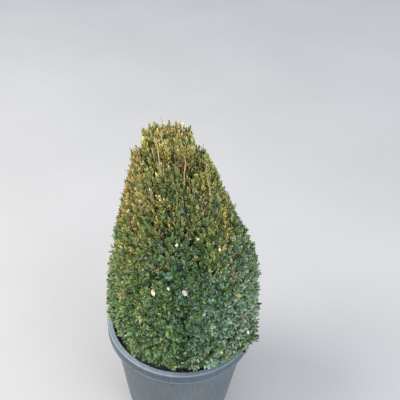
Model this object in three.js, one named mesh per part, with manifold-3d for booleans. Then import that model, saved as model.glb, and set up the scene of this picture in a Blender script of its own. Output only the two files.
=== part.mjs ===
// A boxwood clipped to a blunt cone, growing in a round nursery pot.
// Millimetres, +Z up, origin at the centre of the pot's flat underside, front towards -Y.
import * as THREE from "three";
import { mergeVertices } from "three/addons/utils/BufferGeometryUtils.js";
import Module from "manifold-3d";

// The clear space kept between two pieces that rest on each other
const GAP = 0.3;

// Pot: thin tapering wall, flat lip and a collar that hangs from the lip's edge
const POT_HEIGHT = 312;
const RIM_RADIUS = 200;
const LIP_WIDTH = 15;
const FOOT_RADIUS = 151;
const COLLAR_HEIGHT = 32;
const WALL = 3;
const FLOOR = 5;
const EDGE_ROUND = 4;
const POT_SIDES = 56;
const DRAIN_HOLES = 6;
const DRAIN_RADIUS = 9;
const DRAIN_CIRCLE = 112;
const THROAT_RADIUS = RIM_RADIUS - LIP_WIDTH;

// Potting mix, level in the middle and sunk a little towards the wall
const SOIL_TOP = POT_HEIGHT - 20;
const SOIL_EDGE_DROP = 6;
const SOIL_LEVEL_RADIUS = 120;

// Stem, from the flat cut on the potting mix to the fork
const STEM_HEIGHT = 96;
const STEM_RADIUS = 15;
const FLARE_RADIUS = 27;
const FLARE_LOBES = 5;
const FLARE_SHARE = 0.22;
const FLARE_DECAY = 7;
const LOBE_DECAY = 5;
const STEM_TAPER = 3;

// Crown, measured above the potting mix: a broad belly, straight flanks and a blunt top
const CROWN_HEIGHT = 615;
const CROWN_OUTLINE = [
  [0, 156],
  [0.04, 174],
  [0.1, 205],
  [0.2, 203],
  [0.3, 198],
  [0.39, 185],
  [0.49, 168],
  [0.585, 152],
  [0.68, 128],
  [0.78, 106],
  [0.9, 88],
  [1, 60],
];
const LEADER_FROM = 0.64;
const LEADER_WAIST = 36;
const LEADER_RADIUS = 58;
const LEADER_SWELLS = [0.78, 0.94];
const LEADER_FREE = [0.92, 0.94];
const LEADER_SQUARENESS = 0.13;
const LEADER_OVERHANG = 4;
const LEADER_SLOPE = 0.09;
const SKIRT_CLEARANCE = 6;
const LEAN = [65, -218, 108];

// On the right the skirt hangs out over the lip
const SKIRT_OVERHANG = 14;
const SKIRT_OVERHANG_ANGLE = -0.35;
const SKIRT_OVERHANG_FADES = [0.06, 0.2];

// The six sectors round the leader, anticlockwise from the front, and the height of each one's shoulder
const SECTORS = [
  ["front_right", 0.86],
  ["right", 0.885],
  ["back", 0.86],
  ["back_left", 0.85],
  ["left", 0.905],
  ["front", 0.92],
];
const SECTOR_ANGLE = (2 * Math.PI) / SECTORS.length;
const FIRST_SEAM = -0.4 * Math.PI;
const SEAM_CLEARANCE = 0.8;

// The cores' depth under the outline, the bare hollow inside them, and how far leaf tips pass the outline
const CORE_DEPTH = 23;
const LEADER_CORE_DEPTH = 10;
const HOLLOW_RADIUS = 84;
const HOLLOW_NARROWS = [0.2, LEADER_FROM];
const CREST_DEPTH = 36;
const OVERHANG = 11;
const BULGE = 0.025;
const CLUMP = 5;
const SEAM_GROOVE = 0.06;
const SHOULDER_FROM = 0.9;
const SHOULDER_ROUNDING = 0.07;
const LEADER_TAPER = 0.2;
const LEADER_FOLIAGE_FROM = 0.83;

// Boughs, from the stem to the sectors' cores, and the leader's own
const BOUGH_BASE_RADIUS = 7;
const BOUGH_TIP_RADIUS = 5;
const BOUGH_SIDES = 8;
const BOUGH_FORK_SHARE = 0.45;
const BOUGH_BEND = 0.62;
const BOUGH_BEND_RISE = 0.35;
const BOUGH_TIP_SHARE = 0.33;
const LEADER_LIMB_RADIUS = 11;
const STUB_LENGTH = 24;
const STUB_SHOWING = 5;
const FORK_STAGGER = 22;

// Twigs and leaves, which stand for whole sprays
const TWIG_SPACING = 65;
const LEADER_TWIG_SPACING = 34;
const TWIG_RADIUS = 3;
const TWIG_SINK = 7;
const SHORTEST_TWIG = 20;
const LONGEST_TWIG = 46;
const LOW_RISE = 0.12;
const TOP_RISE = 1.1;
const RISE_WANDER = [-0.15, 0.25];
const ROW_WANDER = [0.15, 0.85];
const COLUMN_WANDER = [-0.2, 0.2];
const CREST_TWIG = 22;
const CREST_RISES = [1.2, 1.5];
const POT_CLEARANCE = 2;
const LEAN_AT_RIM = 7;
const LEAF_LENGTH = 36;
const LEAF_WIDTH = 23;
const LEAF_THICKNESS = 1.8;
const LEAF_SPREAD = 1.1;
const TOP_LEAF_SPREAD = 0.6;
const LEAF_SCALES = [0.85, 1.05];
const TOP_LEAF_SCALES = [0.8, 1];
const LEAF_TURN_WANDER = [-0.5, 0.5];
const LEAF_PAIR_SHARE = 0.45;
const TOP_LEAF_SHARE = 0.75;
const LEAF_PAST_TWIG = 19;
const SEED = 1967;

const COLOURS = {
  pot: 0x5f676e,
  soil: 0x2b2320,
  bark: 0x8a7a5c,
  leaf: 0x4f6a34,
};

const wasm = await Module();
wasm.setup();

const { lerp, clamp, smoothstep } = THREE.MathUtils;

// Small seeded generator of numbers from 0 to 1, so that the plant grows the same every time.
function seededRandom(seed) {
  let state = seed;
  return () => {
    state = (state + 0x6d2b79f5) | 0;
    let t = Math.imul(state ^ (state >>> 15), 1 | state);
    t = (t + Math.imul(t ^ (t >>> 7), 61 | t)) ^ t;
    return ((t ^ (t >>> 14)) >>> 0) / 4294967296;
  };
}

// A number at random between the two of a pair.
function between([low, high], random) {
  return lerp(low, high, random());
}

// A closed geometry as a solid: only positions are kept, and shared vertices are merged.
function toSolid(geometry) {
  const bare = new THREE.BufferGeometry().setIndex(geometry.index);
  bare.setAttribute("position", geometry.getAttribute("position"));
  const merged = mergeVertices(bare, 1e-3);
  return new wasm.Manifold(
    new wasm.Mesh({
      numProp: 3,
      vertProperties: new Float32Array(merged.attributes.position.array),
      triVerts: new Uint32Array(merged.index.array),
    }),
  );
}

// The geometry of a solid.
function toGeometry(solid) {
  const mesh = solid.getMesh();
  const geometry = new THREE.BufferGeometry();
  geometry.setAttribute("position", new THREE.BufferAttribute(new Float32Array(mesh.vertProperties), 3));
  geometry.setIndex(new THREE.BufferAttribute(new Uint32Array(mesh.triVerts), 1));
  geometry.computeVertexNormals();
  return geometry;
}

// Moves every vertex of a geometry by a rule that changes a Vector3 in place.
function reshape(geometry, rule) {
  const position = geometry.getAttribute("position");
  const point = new THREE.Vector3();
  for (let i = 0; i < position.count; i += 1) {
    rule(point.fromBufferAttribute(position, i));
    position.setXYZ(i, point.x, point.y, point.z);
  }
  return geometry;
}

// A point at a radius, an angle and a height.
function polar(radius, angle, height) {
  return new THREE.Vector3(radius * Math.cos(angle), radius * Math.sin(angle), height);
}

// A geometry whose own +Y is laid along a direction from a root, and its +Z turned towards a facing.
function laidAlong(geometry, root, along, facing) {
  const side = new THREE.Vector3().crossVectors(along, facing).normalize();
  const normal = new THREE.Vector3().crossVectors(side, along);
  return geometry.applyMatrix4(new THREE.Matrix4().makeBasis(side, along, normal).setPosition(root));
}

// A round limb along a curve that lies in the upright plane at an angle, closed by a flat cut at each end.
function limb(curve, angle, sides, steps, radiusAt) {
  const side = polar(1, angle + Math.PI / 2, 0);
  return reshape(new THREE.CylinderGeometry(1, 1, 1, sides, steps), (point) => {
    const share = clamp(point.y + 0.5, 0, 1);
    const across = new THREE.Vector3().crossVectors(side, curve.getTangent(share));
    const radius = radiusAt(share, Math.atan2(point.z, point.x));
    const { x, z } = point;
    point.copy(curve.getPoint(share));
    point.addScaledVector(side, x * radius).addScaledVector(across, z * radius);
  });
}

// The plant leans: the crown sets out to the right and then bends over to the left.
function leanOver(geometry) {
  return reshape(geometry, (point) => {
    const share = (point.z - SOIL_TOP) / CROWN_HEIGHT;
    point.x += LEAN[0] * share + LEAN[1] * share ** 2 + LEAN[2] * share ** 3;
  });
}

function named(name, geometry, colour, roughness) {
  const material = new THREE.MeshStandardMaterial({ color: colour, roughness, metalness: 0 });
  const mesh = new THREE.Mesh(geometry, material);
  mesh.name = name;
  return mesh;
}

// The pot's outer wall radius at a height.
function wallRadius(z) {
  return lerp(FOOT_RADIUS, THROAT_RADIUS + WALL, z / POT_HEIGHT);
}

// A turned solid from a profile of radius and height pairs.
function turned(profile, sides) {
  const points = profile.map(([radius, height]) => new THREE.Vector2(radius, height));
  return new THREE.LatheGeometry(points, sides).rotateX(Math.PI / 2);
}

function pot() {
  const under = POT_HEIGHT - WALL;
  const collarFoot = POT_HEIGHT - COLLAR_HEIGHT;
  const profile = [
    [0, 0],
    [FOOT_RADIUS - EDGE_ROUND, 0],
    [wallRadius(EDGE_ROUND), EDGE_ROUND],
    [wallRadius(under), under],
    [RIM_RADIUS - WALL, under],
    [RIM_RADIUS - WALL - 1, collarFoot],
    [RIM_RADIUS - 1, collarFoot],
    [RIM_RADIUS, POT_HEIGHT - EDGE_ROUND],
    [RIM_RADIUS - EDGE_ROUND / 3, POT_HEIGHT - EDGE_ROUND / 3],
    [RIM_RADIUS - EDGE_ROUND, POT_HEIGHT],
    [THROAT_RADIUS + 2, POT_HEIGHT],
    [THROAT_RADIUS, POT_HEIGHT - 2],
    [wallRadius(FLOOR) - WALL, FLOOR],
    [0, FLOOR],
  ];
  let solid = toSolid(turned(profile, POT_SIDES));
  for (let i = 0; i < DRAIN_HOLES; i += 1) {
    const hole = new THREE.CylinderGeometry(DRAIN_RADIUS, DRAIN_RADIUS, 4 * FLOOR, 10).rotateX(Math.PI / 2);
    const place = polar(DRAIN_CIRCLE, (i * 2 * Math.PI) / DRAIN_HOLES, 0);
    solid = solid.subtract(toSolid(hole.translate(place.x, place.y, 0)));
  }
  return named("pot", toGeometry(solid), COLOURS.pot, 0.55);
}

function soil() {
  const edgeTop = SOIL_TOP - SOIL_EDGE_DROP;
  const profile = [
    [0, FLOOR + GAP],
    [wallRadius(FLOOR) - WALL - GAP, FLOOR + GAP],
    [wallRadius(edgeTop) - WALL - GAP, edgeTop],
    [lerp(SOIL_LEVEL_RADIUS, THROAT_RADIUS, 0.6), SOIL_TOP - SOIL_EDGE_DROP / 3],
    [SOIL_LEVEL_RADIUS, SOIL_TOP],
    [0, SOIL_TOP],
  ];
  return named("soil", turned(profile, POT_SIDES / 2), COLOURS.soil, 0.95);
}

// The stem's radius: a lobed flare at the foot that dies away into a gentle taper.
function stemRadius(share, turn) {
  const flare = (FLARE_RADIUS - STEM_RADIUS) * Math.exp(-FLARE_DECAY * share);
  const lobes = 1 + FLARE_SHARE * Math.exp(-LOBE_DECAY * share) * Math.cos(FLARE_LOBES * turn);
  return (STEM_RADIUS + flare - STEM_TAPER * share) * lobes;
}

const stemCurve = new THREE.LineCurve3(
  new THREE.Vector3(0, 0, SOIL_TOP + GAP),
  new THREE.Vector3(0, 0, SOIL_TOP + STEM_HEIGHT),
);

function stem(clearance = 0) {
  return limb(stemCurve, 0, 20, 6, (share, turn) => stemRadius(share, turn) + clearance);
}

// Height in the crown as a share, from the potting mix to the highest tip.
function crownShare(z) {
  return clamp((z - SOIL_TOP) / CROWN_HEIGHT, 0, 1);
}

// The clipped outline's radius at an angle and a height, with the slight bulges that shears leave.
function outline(angle, z) {
  const share = crownShare(z);
  const above = CROWN_OUTLINE.findIndex(([height]) => height >= share);
  const [high, highRadius] = CROWN_OUTLINE[Math.max(above, 1)];
  const [low, lowRadius] = CROWN_OUTLINE[Math.max(above, 1) - 1];
  const radius = lerp(lowRadius, highRadius, (share - low) / (high - low));
  const overRim = SKIRT_OVERHANG * Math.max(0, Math.cos(angle - SKIRT_OVERHANG_ANGLE)) ** 2;
  const bulge = 1 + BULGE * Math.sin(3 * angle + 9 * share) * Math.sin(2 * angle - 5 * share);
  return radius * bulge + overRim * (1 - smoothstep(share, ...SKIRT_OVERHANG_FADES));
}

// The leader's own outline, a narrow column that swells where it comes out above the shoulders.
function leaderOutline(z) {
  return lerp(LEADER_WAIST, LEADER_RADIUS, smoothstep(crownShare(z), ...LEADER_SWELLS));
}

// How far the leader's twigs reach at an angle: above the shoulders it is free, and a little square.
function leaderReach(angle, z) {
  const free = smoothstep(crownShare(z), ...LEADER_FREE);
  const square = 1 + LEADER_SQUARENESS * free * Math.abs(Math.sin(2 * angle));
  return leaderOutline(z) * square + LEADER_OVERHANG * free;
}

// The radius of the bare hollow inside the crown, which narrows to the leader's foliage.
function hollow(z) {
  return lerp(HOLLOW_RADIUS, leaderOutline(z) + SEAM_CLEARANCE, smoothstep(crownShare(z), ...HOLLOW_NARROWS));
}

// One tapering leaf of eight faces from its root along a direction.
function leaf(root, along, facing, scale) {
  const blade = new THREE.OctahedronGeometry(1);
  blade.scale((LEAF_WIDTH * scale) / 2, (LEAF_LENGTH * scale) / 2, LEAF_THICKNESS / 2);
  return laidAlong(blade.translate(0, (LEAF_LENGTH * scale) / 2, 0), root, along, facing);
}

// True if every vertex of a geometry is in a space.
function liesIn(geometry, space) {
  const position = geometry.getAttribute("position");
  const point = new THREE.Vector3();
  for (let i = 0; i < position.count; i += 1) {
    if (!space(point.fromBufferAttribute(position, i))) return false;
  }
  return true;
}

// True if a geometry is clear of the pot and the potting mix: all in the throat, or all above the lip.
function clearOfPot(geometry) {
  const throat = wallRadius(SOIL_TOP) - WALL - POT_CLEARANCE - LEAN_AT_RIM;
  const inThroat = (point) => Math.hypot(point.x, point.y) < throat && point.z > SOIL_TOP + POT_CLEARANCE / 2;
  return liesIn(geometry, inThroat) || liesIn(geometry, (point) => point.z > POT_HEIGHT + POT_CLEARANCE);
}

// A twig from inside the core towards the outline, with its leaves: the pieces that keep to the mass's space.
function spray(root, along, length, space, random) {
  const facing = new THREE.Vector3(0, 0, 1).addScaledVector(polar(1, random() * 2 * Math.PI, 0), 0.3);
  const twig = new THREE.ConeGeometry(TWIG_RADIUS, length, 3);
  laidAlong(twig.translate(0, length / 2, 0), root, along, facing);
  if (!liesIn(twig, space) || !clearOfPot(twig)) return [];

  const side = new THREE.Vector3().crossVectors(along, facing).normalize();
  const blades = [];
  const sprout = (share, turn, spread, scale) => {
    const outward = side.clone().applyAxisAngle(along, turn);
    const direction = along.clone().multiplyScalar(Math.cos(spread));
    direction.addScaledVector(outward, Math.sin(spread)).normalize();
    const from = root.clone().addScaledVector(along, share * length);
    const blade = leaf(from, direction, along, scale);
    if (liesIn(blade, space) && clearOfPot(blade)) blades.push(blade);
  };
  for (const half of [0, 1]) {
    const turn = Math.PI * half + between(LEAF_TURN_WANDER, random);
    sprout(LEAF_PAIR_SHARE, turn, LEAF_SPREAD, between(LEAF_SCALES, random));
  }
  sprout(TOP_LEAF_SHARE, random() * 2 * Math.PI, TOP_LEAF_SPREAD, between(TOP_LEAF_SCALES, random));
  return [twig, ...blades];
}

// The sprays over a mass: rows up the core, each twig reaching out and up to the outline, and rings on top.
function sprays(mass) {
  const { angleFrom, angleTo, low, coreTop, coreRadius, tipRadius, spacing, space, random } = mass;
  const pieces = [];
  const rows = Math.round((coreTop - low) / spacing);
  for (let row = 0; row < rows; row += 1) {
    const rowHeight = lerp(low, coreTop, (row + 0.5) / rows);
    const arc = (angleTo - angleFrom) * tipRadius(angleFrom, rowHeight);
    const columns = Math.max(2, Math.round(arc / spacing));
    for (let column = 0; column < columns; column += 1) {
      const wander = between(COLUMN_WANDER, random);
      const angle = lerp(angleFrom, angleTo, (column + 0.5 + wander) / columns);
      const z = lerp(low, coreTop, (row + between(ROW_WANDER, random)) / rows);
      const rise = lerp(LOW_RISE, TOP_RISE, crownShare(z)) + between(RISE_WANDER, random);
      const core = coreRadius(angle, z) - TWIG_SINK;
      const reach = tipRadius(angle, z) - core - LEAF_PAST_TWIG * Math.cos(rise);
      const length = clamp(reach / Math.cos(rise), SHORTEST_TWIG, LONGEST_TWIG);
      const along = polar(Math.cos(rise), angle, Math.sin(rise));
      pieces.push(...spray(polar(core, angle, z), along, length, space, random));
    }
  }
  for (const [radius, tufts] of mass.crestRings) {
    for (let tuft = 0; tuft < tufts; tuft += 1) {
      const angle = lerp(angleFrom, angleTo, (tuft + 0.5) / tufts);
      const rise = between(CREST_RISES, random);
      const along = polar(Math.cos(rise), angle, Math.sin(rise));
      pieces.push(...spray(polar(radius, angle, coreTop - TWIG_SINK), along, CREST_TWIG, space, random));
    }
  }
  return pieces;
}

// Joins a core, its stem stub and its sprays into one solid mass, and leans it with the plant.
function fused(pieces) {
  const solid = pieces.map(toSolid).reduce((sum, piece) => sum.add(piece));
  const bodies = solid.decompose().sort((a, b) => b.volume() - a.volume());
  return leanOver(toGeometry(bodies[0]));
}

// A bough's curve: out of the stem, then steeply up into its sector.
function boughCurve(angle, index) {
  const start = SOIL_TOP + BOUGH_FORK_SHARE * STEM_HEIGHT + (index % 2) * FORK_STAGGER;
  const end = SOIL_TOP + BOUGH_TIP_SHARE * CROWN_HEIGHT + (index % 3) * FORK_STAGGER;
  return new THREE.QuadraticBezierCurve3(
    polar(0, angle, start),
    polar(HOLLOW_RADIUS * BOUGH_BEND, angle, lerp(start, end, BOUGH_BEND_RISE)),
    polar(hollow(end) - STUB_SHOWING, angle, end),
  );
}

function bough(name, angle, index) {
  const whole = toSolid(
    limb(boughCurve(angle, index), angle, BOUGH_SIDES, 6, (share) =>
      lerp(BOUGH_BASE_RADIUS, BOUGH_TIP_RADIUS, share),
    ),
  );
  const clear = whole.subtract(toSolid(stem(GAP)));
  const outer = clear.decompose().sort((a, b) => b.volume() - a.volume())[0];
  return named(`bough_${name}`, leanOver(toGeometry(outer)), COLOURS.bark, 0.85);
}

// The stub that carries a mass on from its bough's tip into the core.
function stub(curve, angle) {
  const along = curve.getTangent(1);
  const tip = curve.getPoint(1).addScaledVector(along, GAP);
  const line = new THREE.LineCurve3(tip, tip.clone().addScaledVector(along, STUB_LENGTH));
  return limb(line, angle, BOUGH_SIDES, 1, () => BOUGH_TIP_RADIUS);
}

// The radius of a sector's core: clumpy, and drawn in a little towards its seams.
function coreRadius(angle, z) {
  const place = (((angle - FIRST_SEAM) / SECTOR_ANGLE) % 1) * 2 - 1;
  const clump = CLUMP * Math.sin(9 * angle + 0.05 * z) * Math.sin(13 * angle - 0.04 * z);
  return (outline(angle, z) - CORE_DEPTH + clump) * (1 - SEAM_GROOVE * place ** 4);
}

// A sector's core: a block bent round the hollow, from the skirt to the shoulder.
function sectorCore(angleFrom, angleTo, low, high) {
  const block = new THREE.BoxGeometry(1, 1, 1, 5, 1, 10).translate(0.5, 0.5, 0.5);
  return reshape(block, (point) => {
    const angle = lerp(angleFrom, angleTo, point.x);
    const z = lerp(low, high, point.z);
    const rounded = 1 - SHOULDER_ROUNDING * smoothstep(point.z, SHOULDER_FROM, 1);
    const radius = lerp(coreRadius(angle, z) * rounded, hollow(z), point.y);
    const middle = (angleFrom + angleTo) / 2;
    const inset = polar(SEAM_CLEARANCE / Math.sin(SECTOR_ANGLE / 2), middle, 0);
    point.copy(polar(radius, angle, z)).add(inset);
  });
}

function sector(name, shoulder, index) {
  const angleFrom = FIRST_SEAM + index * SECTOR_ANGLE;
  const angleTo = angleFrom + SECTOR_ANGLE;
  const middle = (angleFrom + angleTo) / 2;
  const low = SOIL_TOP + SKIRT_CLEARANCE;
  const high = SOIL_TOP + shoulder * CROWN_HEIGHT;
  const coreTop = high - CREST_DEPTH;
  const seamSide = (point, angle) => point.y * Math.cos(angle) - point.x * Math.sin(angle);
  const space = (point) =>
    seamSide(point, angleFrom) > SEAM_CLEARANCE &&
    seamSide(point, angleTo) < -SEAM_CLEARANCE &&
    Math.hypot(point.x, point.y) > leaderOutline(point.z) + SEAM_CLEARANCE &&
    Math.hypot(point.x, point.y) < outline(Math.atan2(point.y, point.x), point.z) + OVERHANG &&
    point.z < high;
  const curve = boughCurve(middle, index);
  const shoulderRadius = coreRadius(middle, coreTop) * (1 - SHOULDER_ROUNDING);
  const foliage = sprays({
    angleFrom,
    angleTo,
    low,
    coreTop,
    coreRadius,
    tipRadius: outline,
    spacing: TWIG_SPACING,
    crestRings: [
      [(hollow(coreTop) + shoulderRadius) / 2, 2],
      [shoulderRadius - TWIG_SINK / 2, 4],
    ],
    space,
    random: seededRandom(SEED + index),
  });
  const core = sectorCore(angleFrom, angleTo, low, coreTop);
  const mass = fused([core, stub(curve, middle), ...foliage]);
  return [
    bough(name, middle, index),
    named(`foliage_${name}`, mass, COLOURS.leaf, 0.6),
  ];
}

// The leader: a straight limb up the middle of the crown and the column of foliage that tops it.
function leader() {
  const from = SOIL_TOP + LEADER_FROM * CROWN_HEIGHT;
  const top = SOIL_TOP + CROWN_HEIGHT;
  const curve = new THREE.LineCurve3(
    new THREE.Vector3(0, 0, SOIL_TOP + STEM_HEIGHT + GAP),
    new THREE.Vector3(0, 0, from - STUB_SHOWING),
  );
  const limbRadius = (share) => lerp(LEADER_LIMB_RADIUS, BOUGH_TIP_RADIUS, share);
  const space = (point) =>
    Math.hypot(point.x, point.y) < leaderReach(Math.atan2(point.y, point.x), point.z) &&
    point.z < top - LEADER_SLOPE * (point.y + LEADER_RADIUS);
  const coreTop = top - CREST_DEPTH;
  const middle = new THREE.LineCurve3(new THREE.Vector3(0, 0, from), new THREE.Vector3(0, 0, coreTop));
  const columnRadius = (angle, z) => {
    const share = (z - from) / (coreTop - from);
    return (leaderOutline(z) - LEADER_CORE_DEPTH) * (1 - LEADER_TAPER * share ** 6);
  };
  const core = limb(middle, 0, 12, 7, (share) => columnRadius(0, lerp(from, coreTop, share)));
  const foliage = sprays({
    angleFrom: 0,
    angleTo: 2 * Math.PI,
    low: SOIL_TOP + LEADER_FOLIAGE_FROM * CROWN_HEIGHT,
    coreTop,
    coreRadius: columnRadius,
    tipRadius: leaderReach,
    spacing: LEADER_TWIG_SPACING,
    crestRings: [
      [0.15 * LEADER_RADIUS, 3],
      [0.62 * LEADER_RADIUS, 10],
    ],
    space,
    random: seededRandom(SEED + SECTORS.length),
  });
  const mass = fused([core, stub(curve, 0), ...foliage]);
  return [
    named("bough_leader", leanOver(limb(curve, 0, BOUGH_SIDES, 6, limbRadius)), COLOURS.bark, 0.85),
    named("foliage_leader", mass, COLOURS.leaf, 0.6),
  ];
}

const topiary = new THREE.Group();
topiary.add(pot(), soil());
topiary.add(named("stem", leanOver(stem()), COLOURS.bark, 0.85));
topiary.add(...SECTORS.flatMap(([name, shoulder], index) => sector(name, shoulder, index)));
topiary.add(...leader());

export default topiary;
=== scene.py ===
# The looks of a boxwood cone in its nursery pot.
# Metres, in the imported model's frame: +Z up, front towards -Y.
import math

import bpy
import numpy as np
from mathutils import Matrix, Vector, noise


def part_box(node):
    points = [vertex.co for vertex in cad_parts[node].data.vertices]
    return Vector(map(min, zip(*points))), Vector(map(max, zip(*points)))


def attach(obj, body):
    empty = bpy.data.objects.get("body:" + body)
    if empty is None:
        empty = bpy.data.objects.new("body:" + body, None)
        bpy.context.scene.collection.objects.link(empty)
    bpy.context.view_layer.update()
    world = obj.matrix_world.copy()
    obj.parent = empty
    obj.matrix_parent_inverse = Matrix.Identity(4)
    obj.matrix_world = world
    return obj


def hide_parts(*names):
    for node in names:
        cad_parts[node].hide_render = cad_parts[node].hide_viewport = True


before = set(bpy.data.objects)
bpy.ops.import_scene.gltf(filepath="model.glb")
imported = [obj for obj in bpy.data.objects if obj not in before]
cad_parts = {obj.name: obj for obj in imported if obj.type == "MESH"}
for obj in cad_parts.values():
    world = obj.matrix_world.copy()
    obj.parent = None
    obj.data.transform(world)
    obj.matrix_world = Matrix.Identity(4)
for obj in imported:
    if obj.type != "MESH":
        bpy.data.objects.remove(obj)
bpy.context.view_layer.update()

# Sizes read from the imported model, whose solids lie a small gap apart
SOLID_GAP = 0.0003
SOIL_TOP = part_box("stem")[0].z - SOLID_GAP
POT_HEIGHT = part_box("pot")[1].z
RIM_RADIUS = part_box("pot")[1].x

# Pot
LIP_WIDTH = 0.015
FOOT_RADIUS = 0.151
COLLAR_HEIGHT = 0.032
WALL = 0.003
FLOOR = 0.005
THROAT_RADIUS = RIM_RADIUS - LIP_WIDTH
COLLAR_FOOT = POT_HEIGHT - COLLAR_HEIGHT
COLLAR_SET_BACK = 0.0022
COLLAR_ROUNDING = 0.0016
FOOT_ROUNDING = 0.0035
LIP_HEIGHT = 0.013
LIP_ROUNDING = 0.004
THROAT_ROUNDING = 0.0022
FLAT_RINGS = (0.03, 0.09)
POT_SIDES = 168
DRAIN_HOLES = 6
DRAIN_RADIUS = 0.009
DRAIN_CIRCLE = 0.112
DRAIN_SIDES = 32
SHARP_EDGE_DEGREES = 42

# Potting mix
SOIL_CLEARANCE = 0.0004
SOIL_EDGE_DROP = 0.006
SOIL_LEVEL_RADIUS = 0.12
SOIL_SIDES = 160
SOIL_RINGS = 44
CRUMB_HEIGHT = 0.0022
CHIPS = 1500
CHIP_HALVES = ((0.0012, 0.0045), (0.0008, 0.002), (0.0004, 0.0011))

# Stem, and the relief of the bark on every limb
STEM_HEIGHT = 0.096
STEM_RADIUS = 0.015
FLARE_RADIUS = 0.027
FLARE_LOBES = 5
FLARE_SHARE = 0.22
STEM_STEPS = 40
STEM_TAPER = 0.003
RIDGES_PER_METRE = 160
RIDGE_STRETCH = 0.3

# Crown, measured above the potting mix: shares of its height, and the clipped radius there
CROWN_HEIGHT = 0.615
OUTLINE_SHARES = (0, 0.04, 0.1, 0.2, 0.3, 0.39, 0.49, 0.585, 0.68, 0.78, 0.9, 1)
OUTLINE_RADII = (0.156, 0.174, 0.205, 0.203, 0.198, 0.185, 0.168, 0.152, 0.128, 0.106, 0.088, 0.06)
BULGE = 0.025
LEADER_FROM = 0.64
LEADER_WAIST = 0.036
LEADER_RADIUS = 0.058
LEADER_SWELLS = (0.78, 0.94)
LEADER_FREE = (0.92, 0.94)
LEADER_SQUARENESS = 0.13
LEADER_SLOPE = 0.09
LEADER_CORNER = 0.012
HOLLOW_RADIUS = 0.084
SKIRT_CLEARANCE = 0.006

# The axis moves sideways by these values times the share of the crown's height, its square and its cube
LEAN = (0.065, -0.218, 0.108)

# The six sectors, anticlockwise from the front, and the height of each one's shoulder
SECTORS = ("front_right", "right", "back", "back_left", "left", "front")
SHOULDERS = np.array((0.86, 0.885, 0.86, 0.85, 0.905, 0.92))
SECTOR_ANGLE = math.tau / len(SECTORS)
FIRST_SEAM = -0.4 * math.pi
SEAM_GROOVE = 0.008
MASSES = ["foliage_" + name for name in (*SECTORS, "leader")]

# The cleft of the front, beside its seam
CLEFT_ANGLE = FIRST_SEAM - 0.25
CLEFT_DEPTH = 0.026
CLEFT_WIDTH = 0.085

# Boughs
BOUGH_BASE_RADIUS = 0.007
BOUGH_TIP_RADIUS = 0.005
BOUGH_START_SHARE = 0.45
BOUGH_TIP_SHARE = 0.33
BOUGH_STEPS = 26
STUB_SHOWING = 0.005
FORK_STAGGER = 0.022

# The limbs that carry the boughs on inside the masses, and the side limbs out of them
LIMB_STEPS = 9
LIMB_TIP_RADIUS = 0.002
SIDE_LIMBS = 22
SIDE_LIMB_RADII = (0.0026, 0.0015)
SIDE_LIMB_DEPTH = 0.07
SIDE_LIMB_SAG = 0.012
SIDE_LIMB_FAN = 0.42
LOW_LIMB_DROP = 0.16

# Shoots: rows of them over the crown, and a second, older layer further in. Here and below, a pair of
# values holds low down and at the top where no comment says else, and angles are in radians
SHOOT_SPACING = (0.0107, 0.0095)
INNER_COARSENESS = 1.7
INNER_DEPTH = (0.034, 0.024)
SHOOT_LENGTH = 0.074
SHOOT_TURN = (0.36, 0.24)
DRIFT = 0.4
DRIFT_SIZE = 0.05
LUMP_HEIGHT = 0.007
LUMP_SIZE = 0.055
LEAF_REACH = 0.0045
RISE_SHARES = (0, 0.1, 0.3, 0.6, 0.85)
RISES = (0.0, 0.35, 0.75, 1.15, 1.4)
SKIRT_OVERHANG = 0.017
SKIRT_OVERHANG_ANGLE = -0.5

# Clumps of shoots with small valleys between them, drawn out upwards near the top
CLUMP_SIZE = 0.034
CLUMP_STRETCH = (1.0, 0.45)
VALLEY_DEPTH = (0.010, 0.006)

# Shoots that stand out of the clipped surface, bare ones and dry ones
TALL_SHARE = 0.11
TALL_REACH = (0.010, 0.017)
BARE_SHARE = (0.025, 0.08)
BARE_REACH = 0.007
DRY_SHARE = (0.0, 0.45)

# How far tips lie under the clipped surface, on average, and at most on the flanks
FLANK_SCATTER = 0.0035
LEADER_SCATTER = 0.003
TOP_SCATTER = 0.007
SCATTER_LIMIT = 0.016

# Radii of twigs, from foot to tip
TWIG_RADII = (0.0013, 0.0010, 0.0007)
JOINING_TWIG_RADII = (0.0019, 0.0013)

# Leaves in opposite pairs, each pair at right angles to the next
LEAF_LENGTH = (0.0143, 0.0130)
LEAF_WIDTH_SHARE = (0.49, 0.38)
INTERNODE = (0.0060, 0.0050)
LEAF_SPLAY = (0.5, 0.22)
SPLAY_STEP = (0.16, 0.07)
SPLAY_LIMIT = 1.15
LEAF_KEPT = (0.96, 0.88)
LEAF_LOYALTY = (0.42, 0.64)
LEAF_PAIRS = 8
FINE_PAIRS = 5
YOUNGEST_PAIR = 0.002
FACE_TO_SUN = 0.55

# Green shoots with larger leaves: their share at the back, and at the front right
LARGE_SHARE = (0.07, 0.24)
LARGE_SIZE = 1.4

# Pale dead leaves caught in the crown: angle in degrees, share of its height, and length
CAUGHT_LEAVES = (
    (-111, 0.445, 0.014), (-83, 0.463, 0.015), (-94, 0.482, 0.008), (-87, 0.645, 0.008),
    (-66, 0.665, 0.007), (-47, 0.60, 0.008), (-35, 0.187, 0.011), (70, 0.4, 0.010),
    (160, 0.55, 0.008),
)
CAUGHT_LEAF_HEIGHT = 0.005

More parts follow.
